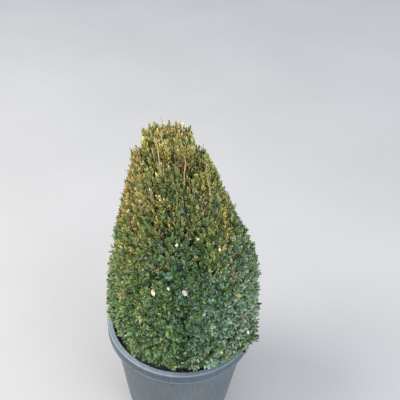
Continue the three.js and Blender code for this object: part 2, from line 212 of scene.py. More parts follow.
# Patches of spray in one colour: angle in degrees, share of the crown's height, and reach.
# The dark ones are hollows too, and their dark leaves are painted shade in them.
# The straw patch at -18 degrees is painted light, where the leader casts its shadow on the front right
# shoulder
PATCHES = {
    "straw": (
        (-104, 0.9, 0.014), (-107, 0.87, 0.016), (-18, 0.865, 0.022), (-148, 0.79, 0.04),
        (-106, 0.78, 0.022), (-42, 0.76, 0.022), (-24, 0.59, 0.02), (-107, 0.53, 0.014),
    ),
    "bronze": (
        (-41, 0.9, 0.016), (-117, 0.81, 0.016), (62, 0.8, 0.022), (-114, 0.74, 0.018),
        (-18, 0.66, 0.02),
    ),
    "rose": ((-71, 0.57, 0.01), (-29, 0.48, 0.026), (-37, 0.26, 0.018)),
    "yellow": (
        (-100, 0.98, 0.022), (-4, 0.84, 0.018), (-28, 0.82, 0.025), (-165, 0.7, 0.03),
        (148, 0.7, 0.025), (-2, 0.66, 0.026), (-24, 0.63, 0.026), (-38, 0.58, 0.018),
        (104, 0.58, 0.02), (-36, 0.4, 0.02),
    ),
    "olive": (
        (-32, 0.88, 0.02), (-70, 0.86, 0.024), (-50, 0.6, 0.026), (-45, 0.54, 0.022),
        (-40, 0.46, 0.03), (-137, 0.35, 0.014),
    ),
    "green": ((-86, 0.79, 0.024), (-72, 0.64, 0.024), (-97, 0.555, 0.012), (-92, 0.505, 0.026)),
    "dark": (
        (-42, 0.63, 0.014), (131, 0.52, 0.018), (-72, 0.44, 0.02), (-122, 0.4, 0.012),
        (28, 0.4, 0.02), (-46, 0.39, 0.018), (-66, 0.385, 0.012), (-91, 0.34, 0.036),
    ),
    "teal": ((-87, 0.56, 0.022),),
    "bluish": (
        (-138, 0.66, 0.01), (-101, 0.595, 0.01), (-72, 0.5, 0.011), (-125, 0.47, 0.011),
        (-6, 0.47, 0.03), (-86, 0.455, 0.014), (-80, 0.378, 0.01), (-62, 0.3, 0.03),
        (-52, 0.29, 0.012),
    ),
}
PATCH_WEIGHT = 1.6
LEAVES_BELOW_TIP = 0.016
PATCH_HOLLOW = 0.009

# Bare dry stems that show at the top, each from foot to tip
DRY_STEMS = (
    ((-0.052, -0.080, 0.845), (-0.056, -0.066, 0.868), (-0.060, -0.056, 0.890), (-0.068, -0.046, 0.909)),
    ((-0.001, -0.088, 0.822), (-0.003, -0.078, 0.845), (-0.001, -0.070, 0.866), (-0.004, -0.064, 0.880)),
    ((-0.056, 0.030, 0.870), (-0.062, 0.034, 0.885), (-0.058, 0.036, 0.900), (-0.064, 0.034, 0.912)),
    ((0.052, -0.062, 0.780), (0.053, -0.064, 0.800), (0.046, -0.064, 0.818), (0.048, -0.066, 0.834)),
)
DRY_STEM_RADII = (0.0012, 0.0007)

# Base colours of the leaves, here and below as screen values from 0 to 255
LEAF_COLOURS = {
    "straw": (228, 208, 150),
    "bronze": (210, 162, 90),
    "rose": (180, 154, 124),
    "yellow": (208, 192, 92),
    "olive": (166, 170, 98),
    "moss": (132, 148, 84),
    "green": (96, 130, 74),
    "dark": (66, 92, 60),
    "teal": (96, 127, 104),
    "bluish": (138, 163, 136),
}
LEAF_NAMES = list(LEAF_COLOURS)

# How much darker and lighter single leaves are than that, in the calm colours and in the others
CALM_LEAVES = ("moss", "green", "dark", "teal")
CALM_RANGE = (0.74, 1.24)
LIVELY_RANGE = (0.66, 1.34)

# Base colours of the rest, the pairs from dark to light
CAUGHT_COLOUR = (206, 196, 160)
STEM_COLOURS = ((96, 86, 66), (150, 138, 110))
LIMB_COLOURS = ((92, 82, 62), (140, 128, 100))
TWIG_COLOURS = ((118, 104, 66), (158, 142, 96))
DRY_TWIG_COLOURS = ((158, 128, 94), (198, 170, 128))
POT_COLOURS = ((84, 96, 104), (97, 108, 115))
DUST_COLOUR = (126, 126, 121)
# Painted shade for the pot's collar
COLLAR_SHADE_COLOUR = (70, 84, 96)
# Painted highlight for the faces that look up, the lip's top most
LIP_HIGHLIGHT_COLOUR = (148, 159, 168)
SOIL_COLOURS = ((52, 54, 54), (88, 88, 86))
CHIP_COLOURS = ((62, 60, 58), (112, 106, 98))
FLOOR_COLOURS = ((172, 169, 165), (178, 175, 171))
WHITE = (1, 1, 1, 1)

# Camera: the photograph's own viewpoint, solved from the round rims of the pots in it; angles in degrees
CAMERA_PLACE = (0.033, -1.052, 1.550)
CAMERA_TILT = 38.41
CAMERA_ROLL = 3.41
CAMERA_LENS = 52.28
CAMERA_SENSOR = 36

# Light: name, place, aim, size, energy and colour
LIGHTS = (
    ("key", (-2.3, -0.2, 2.7), (0, 0, 0.55), 2.4, 112, (1.0, 0.96, 0.9)),
    ("fill", (2.5, -1.8, 2.2), (0, 0, 0.5), 2.6, 68, (0.9, 0.95, 1.0)),
)
SKY_COLOUR = (0.80, 0.87, 1.0, 1)
SKY_STRENGTH = 1.27
FLOOR_REACH = 8

SEED = 1831
rng = np.random.default_rng(SEED)


def screen(colour):
    """A colour of the screen, 0 to 255, as the linear one that shaders take."""
    return tuple((c / 255) ** 2.2 for c in colour) + (1,)


# Materials


def material(name, roughness, specular):
    """A new node material, with its tree and its main shader."""
    made = bpy.data.materials.new(name)
    made.use_nodes = True
    shader = made.node_tree.nodes["Principled BSDF"]
    shader.inputs["Roughness"].default_value = roughness
    shader.inputs["Specular IOR Level"].default_value = specular
    return made, made.node_tree, shader


def feed(tree, socket, value):
    """Links an input to another node's output, or sets it to a value."""
    if isinstance(value, bpy.types.NodeSocket):
        tree.links.new(value, socket)
    else:
        socket.default_value = value


def node(tree, kind, **values):
    """A node with some of its inputs fed."""
    made = tree.nodes.new(kind)
    for key, value in values.items():
        feed(tree, made.inputs[key], value)
    return made


def noise_node(tree, scale, detail, stretch=(1, 1, 1)):
    """A noise over the object's own coordinates, stretched along some of them."""
    place = node(tree, "ShaderNodeTexCoord")
    mapping = node(tree, "ShaderNodeMapping", Vector=place.outputs["Object"], Scale=stretch)
    made = node(tree, "ShaderNodeTexNoise", Vector=mapping.outputs["Vector"], Scale=scale, Detail=detail)
    return made.outputs["Fac"]


def ramp(tree, factor, *stops):
    """A colour ramp over a factor: stops of place and linear colour."""
    made = node(tree, "ShaderNodeValToRGB", Fac=factor)
    while len(made.color_ramp.elements) < len(stops):
        made.color_ramp.elements.new(0.5)
    for element, (place, colour) in zip(made.color_ramp.elements, stops):
        element.position = place
        element.color = colour
    return made.outputs["Color"]


def mix(tree, factor, low, high, blend="MIX"):
    """A mix of two colours by a factor, each of them an output or a value."""
    made = tree.nodes.new("ShaderNodeMix")
    made.data_type = "RGBA"
    made.blend_type = blend
    for key, value in (("Factor", factor), ("A", low), ("B", high)):
        socket = next(s for s in made.inputs if s.name == key and (key == "Factor" or s.type == "RGBA"))
        feed(tree, socket, value)
    return next(s for s in made.outputs if s.type == "RGBA")


def spread(tree, factor, low, high, to_low=0.0, to_high=1.0):
    """A factor's value moved from one range to another."""
    ends = {"From Min": low, "From Max": high, "To Min": to_low, "To Max": to_high}
    return node(tree, "ShaderNodeMapRange", Value=factor, **ends).outputs["Result"]


def two_tone(tree, factor, colours, low, high):
    """A ramp from the first of two screen colours, at a low place, to the second at a high one."""
    return ramp(tree, factor, (low, screen(colours[0])), (high, screen(colours[1])))


def part_of(tree, source, value):
    """One of the numbers of a geometry node's vector output."""
    return node(tree, "ShaderNodeSeparateXYZ", Vector=source).outputs[value]


def bump(tree, shader, height, distance, strength):
    """Relief from a height output."""
    made = node(tree, "ShaderNodeBump", Height=height, Strength=strength, Distance=distance)
    tree.links.new(made.outputs["Normal"], shader.inputs["Normal"])


def leaf_material(name, colour):
    """Leathery leaf: one base colour, a little lighter or darker from leaf to leaf and within each."""
    made, tree, shader = material("leaf_" + name, 0.46, 0.5)
    base = screen(colour)
    least, most = CALM_RANGE if name in CALM_LEAVES else LIVELY_RANGE
    dark = tuple(c * least for c in base[:3]) + (1,)
    light = tuple(min(1, c * most) for c in base[:3]) + (1,)
    island = tree.nodes.new("ShaderNodeNewGeometry")
    each = ramp(tree, island.outputs["Random Per Island"], (0, dark), (0.5, base), (1, light))
    fine = ramp(tree, noise_node(tree, 260, 3), (0.3, (0.86, 0.86, 0.86, 1)), (0.7, WHITE))
    tree.links.new(mix(tree, 1.0, each, fine, "MULTIPLY"), shader.inputs["Base Color"])
    return made


def bark_material(name, colours):
    """Ridged corky bark."""
    made, tree, shader = material(name, 0.85, 0.25)
    ridges = noise_node(tree, 220, 6, (1, 1, 0.25))
    tree.links.new(two_tone(tree, ridges, colours, 0.32, 0.68), shader.inputs["Base Color"])
    bump(tree, shader, ridges, 0.0012, 0.8)
    return made


def pot_material():
    """Dark blue-grey moulded plastic under a film of dust, with runs of washed-down dirt, painted shade on
    the collar and a painted highlight on the lip's top.
    """
    made, tree, shader = material("pot_plastic", 0.5, 0.45)
    clean = two_tone(tree, noise_node(tree, 9, 5), POT_COLOURS, 0.35, 0.7)
    runs = noise_node(tree, 34, 5, (1, 1, 0.07))
    film = spread(tree, runs, 0.38, 0.72, 0.06, 0.42)
    dusty = mix(tree, film, clean, screen(DUST_COLOUR))
    place = tree.nodes.new("ShaderNodeNewGeometry")
    height = part_of(tree, place.outputs["Position"], "Z")
    # Painted shade: darker from the collar's foot up
    collar_shade = spread(tree, height, COLLAR_FOOT - 0.004, COLLAR_FOOT, 0.0, 0.45)
    collar_shaded = mix(tree, collar_shade, dusty, screen(COLLAR_SHADE_COLOUR))
    # Painted highlight: the faces that look up, the lip's top most, lighter and bluer
    painted_highlight = spread(tree, part_of(tree, place.outputs["Normal"], "Z"), 0.4, 0.9, 0.0, 0.85)
    highlighted = mix(tree, painted_highlight, collar_shaded, screen(LIP_HIGHLIGHT_COLOUR))
    streak_noise = noise_node(tree, 120, 5, (1, 1, 0.2))
    streaks = ramp(tree, streak_noise, (0.38, (0.85, 0.85, 0.84, 1)), (0.6, WHITE))
    specks = ramp(tree, noise_node(tree, 240, 3), (0.42, (0.84, 0.84, 0.82, 1)), (0.56, WHITE))
    worn = mix(tree, 1.0, highlighted, streaks, "MULTIPLY")
    tree.links.new(mix(tree, 1.0, worn, specks, "MULTIPLY"), shader.inputs["Base Color"])
    tree.links.new(spread(tree, runs, 0.3, 0.7, 0.42, 0.62), shader.inputs["Roughness"])
    bump(tree, shader, noise_node(tree, 420, 3), 0.0004, 0.35)
    return made


def soil_material(name, colours):
    """Moist, coarse potting mix."""
    made, tree, shader = material(name, 0.9, 0.25)
    grain = noise_node(tree, 240, 6)
    tree.links.new(two_tone(tree, grain, colours, 0.35, 0.7), shader.inputs["Base Color"])
    bump(tree, shader, grain, 0.002, 1.0)
    return made


def floor_material():
    """Plain pale matt floor."""
    made, tree, shader = material("floor", 0.9, 0.2)
    shade = noise_node(tree, 1.3, 2)
    tree.links.new(two_tone(tree, shade, FLOOR_COLOURS, 0.3, 0.7), shader.inputs["Base Color"])
    return made


# Mesh building


def new_object(name, data):
    made = bpy.data.objects.new(name, data)
    bpy.context.scene.collection.objects.link(made)
    return made


def mesh_object(name, points, faces, look, flat=False):
    """A mesh object from an array of points and one of faces with the same number of corners."""
    points = np.asarray(points, np.float32)
    faces = np.asarray(faces, np.int32)
    mesh = bpy.data.meshes.new(name)
    mesh.vertices.add(len(points))
    mesh.vertices.foreach_set("co", points.ravel())
    mesh.loops.add(faces.size)
    mesh.loops.foreach_set("vertex_index", faces.ravel())
    mesh.polygons.add(len(faces))
    mesh.polygons.foreach_set("loop_start", np.arange(0, faces.size, faces.shape[1], dtype=np.int32))
    mesh.polygons.foreach_set("use_smooth", np.full(len(faces), not flat))
    mesh.update(calc_edges=True)
    mesh.materials.append(look)
    return new_object(name, mesh)


def dress(piece, slot, *nodes):
    """The piece rides on the plant's one body and stands for some CAD nodes. The slot is not used."""
    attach(piece, "root")
    if nodes:
        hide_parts(*nodes)


def unit(vectors):
    return vectors / np.maximum(np.linalg.norm(vectors, axis=-1, keepdims=True), 1e-9)


def lerp(low, high, share):
    return low + (high - low) * share


def smooth(value, low, high):
    """0 below the low value and 1 above the high one, with an easy slope between."""
    share = np.clip((value - low) / (high - low), 0, 1)
    return share * share * (3 - 2 * share)


def ring_faces(rings, sides, middles=True):
    """Triangles between rings of points, and a fan over each end: round a middle point that follows
    the rings, or without one."""
    corners = [(k * sides + j, k * sides + (j + 1) % sides) for k in range(rings - 1) for j in range(sides)]
    faces = [face for a, b in corners for face in ((a, b, b + sides), (a, b + sides, a + sides))]
    last, foot = (rings - 1) * sides, rings * sides
    if not middles:
        for j in range(1, sides - 1):
            faces += [(0, j + 1, j), (last, last + j, last + j + 1)]
        return faces
    for j in range(sides):
        faces += [(foot, (j + 1) % sides, j), (foot + 1, last + j, last + (j + 1) % sides)]
    return faces


def tubes(paths, radii, sides):
    """Thin closed tubes along many paths at once: paths (n, rings, 3) and radii (n, rings)."""
    count, rings, _ = paths.shape
    along = unit(np.gradient(paths, axis=1))
    helper = np.where(np.abs(along[..., 2:]) > 0.9, np.array([1.0, 0, 0]), np.array([0, 0, 1.0]))
    side = unit(np.cross(along, helper))
    other = np.cross(along, side)
    turns = np.arange(sides) * math.tau / sides
    circle = side[:, :, None] * np.cos(turns)[:, None] + other[:, :, None] * np.sin(turns)[:, None]
    points = paths[:, :, None] + circle * radii[:, :, None, None]
    faces = np.array(ring_faces(rings, sides, middles=False))
    shift = (np.arange(count) * rings * sides)[:, None, None]
    return points.reshape(-1, 3), (faces[None] + shift).reshape(-1, 3)


# The crown's rule, as in the part's source


def crown_share(z):
    return np.clip((z - SOIL_TOP) / CROWN_HEIGHT, 0, 1)


def crown_z(share):
    return SOIL_TOP + share * CROWN_HEIGHT


def outline(angle, z):
    """The clipped radius at an angle and a height, with the slight bulges that shears leave."""
    share = crown_share(z)
    radius = np.interp(share, OUTLINE_SHARES, OUTLINE_RADII)
    over_rim = SKIRT_OVERHANG * np.clip(np.cos(angle - SKIRT_OVERHANG_ANGLE), 0, 1) ** 2
    bulge = 1 + BULGE * np.sin(3 * angle + 9 * share) * np.sin(2 * angle - 5 * share)
    return radius * bulge + over_rim * (1 - smooth(share, 0.06, 0.2))


def leader_outline(z):
    return lerp(LEADER_WAIST, LEADER_RADIUS, smooth(crown_share(z), *LEADER_SWELLS))


def leader_reach(angle, z):
    """How far the leader reaches at an angle: above the shoulders it is free, and a little square."""
    free = smooth(crown_share(z), *LEADER_FREE)
    return leader_outline(z) * (1 + LEADER_SQUARENESS * free * np.abs(np.sin(2 * angle)))


def hollow(z):
    """The radius of the bare hollow inside the crown."""
    return lerp(HOLLOW_RADIUS, leader_outline(z), smooth(crown_share(z), 0.2, LEADER_FROM))


def lean_over(points):
    """The crown sets out to the right and then bends over to the left."""
    share = (points[..., 2] - SOIL_TOP) / CROWN_HEIGHT
    moved = np.array(points, float)
    moved[..., 0] += LEAN[0] * share + LEAN[1] * share**2 + LEAN[2] * share**3
    return moved


def polar(radius, angle, z):
    radius, angle, z = np.broadcast_arrays(radius, angle, z)
    return np.stack([radius * np.cos(angle), radius * np.sin(angle), z], -1)


def on_outline(degrees, share):
    """The point of the outline at an angle in degrees and a share of the crown's height."""
    angle, z = math.radians(degrees), crown_z(share)
    return polar(outline(angle, z), angle, z)


def seam_place(angle):
    """The sector at an angle, and the place across it from -1 to 1."""
    across = ((angle - FIRST_SEAM) / SECTOR_ANGLE) % len(SECTORS)
    return across.astype(int) % len(SECTORS), (across % 1) * 2 - 1


def in_cleft(angle, z):
    """How deep in the front's cleft a place is, 0 to 1: below the crown's middle, and less at the foot."""
    aside = ((angle - CLEFT_ANGLE + math.pi) % math.tau - math.pi) / CLEFT_WIDTH
    share = crown_share(z)
    return np.exp(-(aside**2)) * (1 - smooth(share, 0.3, 0.5)) * lerp(0.4, 1, smooth(share, 0.2, 0.36))


def lumps(points, size, seed):
    """Smooth noise at each point, from about -1 to 1."""
    offset = Vector((seed, -seed, 2 * seed))
    return np.array([noise.noise(Vector(p) / size + offset) for p in points])


def clumps(points, stretch):
    """For each point, how deep it is in a valley between clumps, and its clump's own number, both 0 to 1."""
    valleys, numbers = [], []
    for point, lengthen in zip(points, stretch):
        spot = Vector(point) / CLUMP_SIZE
        spot.z *= lengthen
        distances, centres = noise.voronoi(spot)
        valleys.append(1 - min(1.0, (distances[1] - distances[0]) / 0.4))
        numbers.append((math.sin(centres[0].dot(Vector((12.9, 78.2, 37.7)))) * 4375.85) % 1)
    return np.array(valleys), np.array(numbers)


def patches(points):
    """For each colour of leaf, how far its patches reach each point, 0 to 1."""
    made = {name: np.zeros(len(points)) for name in PATCHES}
    for name, places in PATCHES.items():
        for degrees, share, reach in places:
            away = np.linalg.norm(points - on_outline(degrees, share), axis=1) / reach
            made[name] = np.maximum(made[name], np.exp(-(away**2)))
    return made


# Stem and boughs


def limb(name, path, radii, look, sides, relief, lobes=None):
    """A limb with its bark's relief, closed at both ends."""
    path = np.asarray(path, float)
    along = unit(np.gradient(path, axis=0))
    side = unit(np.cross(along, np.array([0.3, 1.0, 0.0])))
    other = np.cross(along, side)
    points = []
    for k, centre in enumerate(path):
        for turn in np.arange(sides) * math.tau / sides:
            outward = side[k] * math.cos(turn) + other[k] * math.sin(turn)
            spot = Vector(centre + outward * radii[k])
            spot.z *= RIDGE_STRETCH
            ridge = noise.fractal(spot * RIDGES_PER_METRE, 0.8, 2.1, 4)
            swell = lobes(k, turn) if lobes else 1.0
            points.append(centre + outward * (radii[k] * swell + relief * ridge))
    points += [path[0], path[-1]]
    return mesh_object(name, points, ring_faces(len(path), sides), look)


def stem(look):
    """The short trunk, with a flared and lobed foot."""
    shares = np.linspace(0, 1, STEM_STEPS)
    path = lean_over(polar(0, 0, SOIL_TOP + SOLID_GAP + shares * STEM_HEIGHT))
    flare = (FLARE_RADIUS - STEM_RADIUS) * np.exp(-7 * shares)
    radii = STEM_RADIUS + flare - STEM_TAPER * shares

    def lobes(k, turn):
        return 1 + FLARE_SHARE * math.exp(-5 * shares[k]) * math.cos(FLARE_LOBES * turn)

    piece = limb("stem_bark", path, radii, look, sides=44, relief=0.0009, lobes=lobes)
    dress(piece, "bark", "stem")


def curve(start, middle, end, steps):
    """Points along a curve that sets out towards a middle point and bends to its end."""
    t = np.linspace(0, 1, steps)[:, None]
    return (1 - t) ** 2 * start + 2 * t * (1 - t) * middle + t * t * end


def bough_path(index):
    """A bough's curve out of the stem and steeply up, as in the part's source."""
    angle = FIRST_SEAM + (index + 0.5) * SECTOR_ANGLE
    start = SOIL_TOP + BOUGH_START_SHARE * STEM_HEIGHT + (index % 2) * FORK_STAGGER
    end = crown_z(BOUGH_TIP_SHARE) + (index % 3) * FORK_STAGGER
    radii = np.array([0, HOLLOW_RADIUS * 0.62, hollow(end) - STUB_SHOWING])
    return curve(*polar(radii, angle, np.array([start, lerp(start, end, 0.35), end])), BOUGH_STEPS)


def boughs(look):
    for index, name in enumerate(SECTORS):
        path = bough_path(index)
        path = path[np.hypot(path[:, 0], path[:, 1]) > STEM_RADIUS * 0.8]
        radii = np.linspace(BOUGH_BASE_RADIUS, BOUGH_TIP_RADIUS, len(path))
        piece = limb("bark_" + name, lean_over(path), radii, look, sides=18, relief=0.0005)
        dress(piece, "bark", "bough_" + name)
    z = np.linspace(SOIL_TOP + STEM_HEIGHT, crown_z(LEADER_FROM) - STUB_SHOWING, 50)
    radii = np.linspace(STEM_RADIUS - 0.004, BOUGH_TIP_RADIUS, len(z))
    piece = limb("bark_leader", lean_over(polar(0, 0, z)), radii, look, sides=20, relief=0.0006)
    dress(piece, "bark", "bough_leader")


# Foliage


def inner_limbs():
    """Each bough carried on up through its mass, with side limbs out of it: paths and radii."""
    paths, radii = [], []
    steps = np.linspace(0, 1, LIMB_STEPS)
    main_radii = np.linspace(BOUGH_TIP_RADIUS, LIMB_TIP_RADIUS, LIMB_STEPS)
    side_radii = np.linspace(*SIDE_LIMB_RADII, LIMB_STEPS)
    for index in range(len(SECTORS)):
        bough = bough_path(index)
        tip = bough[-1]
        angle = FIRST_SEAM + (index + 0.5) * SECTOR_ANGLE
        z = lerp(tip[2], crown_z(SHOULDERS[index] - 0.08), steps)
        inside = lerp(hollow(z), outline(angle, z), 0.3)
        radius = lerp(np.hypot(tip[0], tip[1]), inside, smooth(steps, 0, 0.3))
        axis = polar(radius, angle + 0.05 * np.sin(steps * 5 + index) * steps, z)
        paths.append(axis)
        radii.append(main_radii)
        for side in range(SIDE_LIMBS):
            share = (side + rng.random()) / SIDE_LIMBS
            lower = np.array([np.interp(share, steps, axis[:, k]) for k in range(3)])
            low = side % 3 == 0
            if low:
                lower = bough[int(lerp(9, BOUGH_STEPS - 1, share))]
            fan = angle + rng.uniform(-SIDE_LIMB_FAN, SIDE_LIMB_FAN)
            reach = lower[2] + rng.uniform(-0.02, 0.07) - LOW_LIMB_DROP * low
            reach = max(SOIL_TOP + 0.03, reach)
            far = polar(outline(fan, reach) - SIDE_LIMB_DEPTH, fan, reach)
            middle = (lower + far) / 2 - np.array([0, 0, SIDE_LIMB_SAG])
            paths.append(curve(lower, middle, far, LIMB_STEPS))
            radii.append(side_radii)
    z = lerp(crown_z(LEADER_FROM), crown_z(0.93), steps)
    paths.append(polar(0.0, 0.0, z))
    radii.append(main_radii)
    return np.array(paths), np.array(radii)


def by_height(share, values):
    """A value between one that holds low down and one that holds at the top."""
    return lerp(*values, smooth(share, 0.2, 0.8))


def flank_tips(coarseness, depth):
    """Places of shoot tips in rows over the sectors' flanks: angle, height and radius."""
    angles, heights = [], []
    low = z = SOIL_TOP + SKIRT_CLEARANCE
    while z < crown_z(SHOULDERS.max()):
        spacing = by_height(crown_share(z), SHOOT_SPACING) * coarseness
        z += spacing
        count = int(math.tau * outline(0.0, z) / spacing)
        angles.append((np.arange(count) + rng.random(count)) / count * math.tau)
        heights.append(z + rng.uniform(-0.5, 0.5, count) * spacing)
    angle, z = np.concatenate(angles), np.concatenate(heights)
    sector, across = seam_place(angle)
    high = crown_z(SHOULDERS[sector])
    keep = z < high - 0.004
    angle, z, sector, across, high = (v[keep] for v in (angle, z, sector, across, high))
    rounded = 1 - 0.03 * smooth((z - low) / (high - low), 0.95, 1)
    groove = SEAM_GROOVE * across**8 * (1 - 0.6 * smooth(crown_share(z), 0.5, 0.85))
    groove += LEAF_REACH + CLEFT_DEPTH * in_cleft(angle, z)
    radius = outline(angle, z) * rounded - groove - by_height(crown_share(z), depth)
    radius -= np.minimum(rng.exponential(FLANK_SCATTER, len(z)), SCATTER_LIMIT)
    return angle, z, radius, sector


def crest_tips(spacing):
    """Places of shoot tips over the shoulders' tops."""
    angles, heights, radii = [], [], []
    for index, shoulder in enumerate(SHOULDERS):
        top = crown_z(shoulder)
        outer, inner = outline(0.0, top) - LEAF_REACH, leader_outline(top)
        area = SECTOR_ANGLE / 2 * (outer**2 - inner**2)
        count = max(8, int(1.6 * area / spacing**2))
        radius = np.sqrt(rng.uniform(inner**2, outer**2, count))
        edge = (radius - inner) / (outer - inner)
        angles.append(FIRST_SEAM + (index + rng.random(count)) * SECTOR_ANGLE)
        heights.append(top - 0.008 * edge**2 - rng.exponential(TOP_SCATTER, count))
        radii.append(radius)
    angle, z, radius = (np.concatenate(v) for v in (angles, heights, radii))
    return angle, z, radius, seam_place(angle)[0]


def leader_tips(spacing):
    """Places of shoot tips over the leader: its blunt top, which slopes back a little, and its sides."""
    top = SOIL_TOP + CROWN_HEIGHT
    count = int(2.6 * math.pi * LEADER_RADIUS**2 / spacing**2)
    inward = np.sqrt(rng.random(count))
    crown_angle = rng.uniform(0, math.tau, count)
    crown_radius = (leader_reach(crown_angle, top) - LEAF_REACH) * inward
    slope = LEADER_SLOPE * (crown_radius * np.sin(crown_angle) + LEADER_RADIUS)
    slope += LEADER_CORNER * np.clip(inward * np.cos(crown_angle), 0, 1) ** 3
    crown = top - 0.015 - slope - rng.exponential(TOP_SCATTER, count)
    rows = int(0.24 * CROWN_HEIGHT / spacing)
    around = int(math.tau * LEADER_RADIUS / spacing)
    side_z = top - 0.016 - (np.repeat(np.arange(rows), around) + rng.random(rows * around)) * spacing
    side_angle = rng.uniform(0, math.tau, rows * around)
    corner = np.clip(np.cos(side_angle), 0, 1) ** 2 * smooth(crown_share(side_z), 0.93, 0.97)
    side_z -= LEADER_CORNER * corner
    side_radius = leader_reach(side_angle, side_z) - LEAF_REACH
    side_radius -= rng.exponential(LEADER_SCATTER, rows * around)
    angle = np.concatenate([crown_angle, side_angle])
    z = np.concatenate([crown, side_z])
    radius = np.concatenate([crown_radius, side_radius])
    return angle, z, radius, np.full(len(z), len(SECTORS))


class Shoots:
    """Many shoots, each a slightly bent line from base to tip, with arrays of one row per shoot."""

    def __init__(self, angle, z, radius, length, rise, layer):
        count = len(z)
        self.angle, self.length, self.layer = angle, length, np.full(count, layer)
        drift = DRIFT * lumps(polar(radius, angle, z), DRIFT_SIZE, 5.5)
        turned = angle + rng.normal(0, 1, count) * by_height(crown_share(z), SHOOT_TURN) + drift
        lower_rise = rise - rng.uniform(0.35, 0.75, count) * (1 - 0.5 * crown_share(z))
        self.start = polar(np.cos(lower_rise), turned, np.sin(lower_rise))
        self.finish = polar(np.cos(rise), turned, np.sin(rise))
        self.tip = polar(radius, angle, z)
        reach = (self.start + self.finish) / 2 * length[:, None]
        self.base = self.tip - reach
        self.share = crown_share(z)
        self.phase = rng.uniform(0, math.tau, count)

    def at(self, share):
        """Points and directions at a share of each shoot's length."""
        t = share[:, None]
        bend = self.finish - self.start
        point = self.base + self.length[:, None] * (t * self.start + t * t / 2 * bend)
        return point, unit(self.start + t * bend)

    def pick(self, keep):
        for key, value in vars(self).items():
            setattr(self, key, value[keep])

    def join(self, other):
        for key, value in vars(self).items():
            setattr(self, key, np.concatenate([value, getattr(other, key)]))


def grow(places, layer, length):
    """Shoots for some tip places: flat-lying at the skirt, upright towards the top."""
    angle, z, radius, sector = places
    share = crown_share(z)
    count = len(z)
    rise = np.interp(share, RISE_SHARES, RISES) + rng.normal(0, 0.18, count)
    rise = np.where(sector == len(SECTORS), rng.normal(1.45, 0.1, count), rise)
    lengths = length * rng.uniform(0.75, 1.2, count)
    return Shoots(angle, z, radius, lengths, np.clip(rise, -0.3, 1.6), layer)


def all_shoots():
    """The crown's shoots, set in and out by lumps, valleys and hollows; some are tall, bare or dry."""
    made = grow(flank_tips(1.0, (0, 0)), 0, SHOOT_LENGTH)
    made.join(grow(crest_tips(SHOOT_SPACING[1]), 0, SHOOT_LENGTH))
    made.join(grow(leader_tips(SHOOT_SPACING[1]), 0, SHOOT_LENGTH))
    made.join(grow(flank_tips(INNER_COARSENESS, INNER_DEPTH), 1, SHOOT_LENGTH * 0.8))
    made.valley, made.clump = clumps(made.tip, by_height(made.share, CLUMP_STRETCH))
    count = len(made.share)
    swell = lumps(made.tip, LUMP_SIZE, 3.7) * LUMP_HEIGHT
    swell -= made.valley**1.5 * by_height(made.share, VALLEY_DEPTH)
    swell -= PATCH_HOLLOW * patches(made.tip)["dark"]
    outward = unit(made.tip * np.array([1, 1, 0])) * swell[:, None]
    tall = (rng.random(count) < TALL_SHARE) & (made.layer == 0)
    made.bare = (rng.random(count) < by_height(made.share, BARE_SHARE)) & (made.layer == 0)
    made.dry = made.bare | (rng.random(count) < by_height(made.share, DRY_SHARE))
    reach = np.where(tall, rng.random(count) * by_height(made.share, TALL_REACH), 0)
    reach += np.where(made.bare, BARE_REACH, 0)
    outward = outward + unit(made.finish) * reach[:, None]
    made.tip, made.base = made.tip + outward, made.base + outward
    made.pick((made.base[:, 2] > SOIL_TOP + 0.004) | (made.share > 0.1))
    return made


def clear_of_pot(points):
    """True where a point is well inside the pot's throat and over the potting mix, or over the lip."""
    radius = np.hypot(points[..., 0], points[..., 1])
    within = (radius < THROAT_RADIUS - 0.004) & (points[..., 2] > SOIL_TOP + 0.002)
    return within | (points[..., 2] > POT_HEIGHT + 0.0015)


